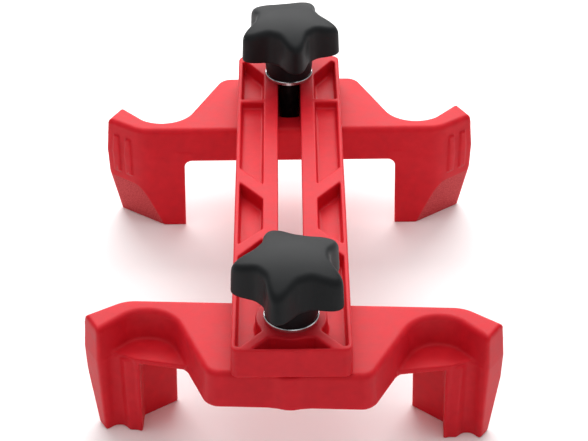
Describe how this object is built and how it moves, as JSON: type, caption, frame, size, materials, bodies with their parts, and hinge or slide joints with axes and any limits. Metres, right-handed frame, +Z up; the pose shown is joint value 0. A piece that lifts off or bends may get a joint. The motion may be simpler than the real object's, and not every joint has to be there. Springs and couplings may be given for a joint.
{
  "type": "camshaft pulley locking clamp",
  "caption": "Slotted clamp bar with star knobs and swivelling claw bars that hook over camshaft pulleys to hold them still.",
  "frame": {"origin": "midway between the two clamp bolts, in the plane of the jaw tips", "axes": "+Y along the slide bar from the front claw bar to the rear one, +Z up towards the knobs, +X to the right"},
  "size_m": [0.1549, 0.2021, 0.089],
  "materials": {
    "red_plastic": "satin moulded glass-filled nylon",
    "black_plastic": "fine matt texture",
    "black_steel": "black oxide",
    "zinc": "bright zinc plate",
    "brass": "turned"
  },
  "bodies": {
    "rail": {"slide_bar": "red_plastic", "front_washer": "zinc"},
    "front_jaw": {"front_jaw_bar": "red_plastic", "front_bolt": "black_steel"},
    "front_lift": {"front_knob_insert": "brass"},
    "front_grip": {"front_knob": "black_plastic"},
    "rear_slider": {"rear_washer": "zinc"},
    "rear_jaw": {"rear_jaw_bar": "red_plastic", "rear_bolt": "black_steel"},
    "rear_lift": {"rear_knob_insert": "brass"},
    "rear_grip": {"rear_knob": "black_plastic"}
  },
  "joints": [
    {"name": "front_swivel", "type": "hinge", "parent": "rail", "child": "front_jaw", "pos_m": [0, -0.08085, 0.0481], "axis": [0, 0, 1], "range_deg": [-22.3, 27.7]},
    {"name": "front_knob_lift", "type": "slide", "parent": "front_jaw", "child": "front_lift", "axis": [0, 0, 1], "range_m": [0, 0.00219]},
    {"name": "front_knob_turn", "type": "hinge", "parent": "front_lift", "child": "front_grip", "pos_m": [0, -0.08085, 0.0621], "axis": [0, 0, 1], "range_deg": [0, 630]},
    {"name": "rear_slide", "type": "slide", "parent": "rail", "child": "rear_slider", "axis": [0, 1, 0], "range_m": [-0.105, 0.003]},
    {"name": "rear_swivel", "type": "hinge", "parent": "rear_slider", "child": "rear_jaw", "pos_m": [0, 0.08085, 0.0481], "axis": [0, 0, 1], "range_deg": [-25.3, 24.7]},
    {"name": "rear_knob_lift", "type": "slide", "parent": "rear_jaw", "child": "rear_lift", "axis": [0, 0, 1], "range_m": [0, 0.00219]},
    {"name": "rear_knob_turn", "type": "hinge", "parent": "rear_lift", "child": "rear_grip", "pos_m": [0, 0.08085, 0.0621], "axis": [0, 0, 1], "range_deg": [0, 630]}
  ],
  "couplings": [
    {"joint": "front_knob_turn", "follows": "front_knob_lift", "rad_per_m": 5026.5},
    {"joint": "rear_knob_turn", "follows": "rear_knob_lift", "rad_per_m": 5026.5}
  ]
}
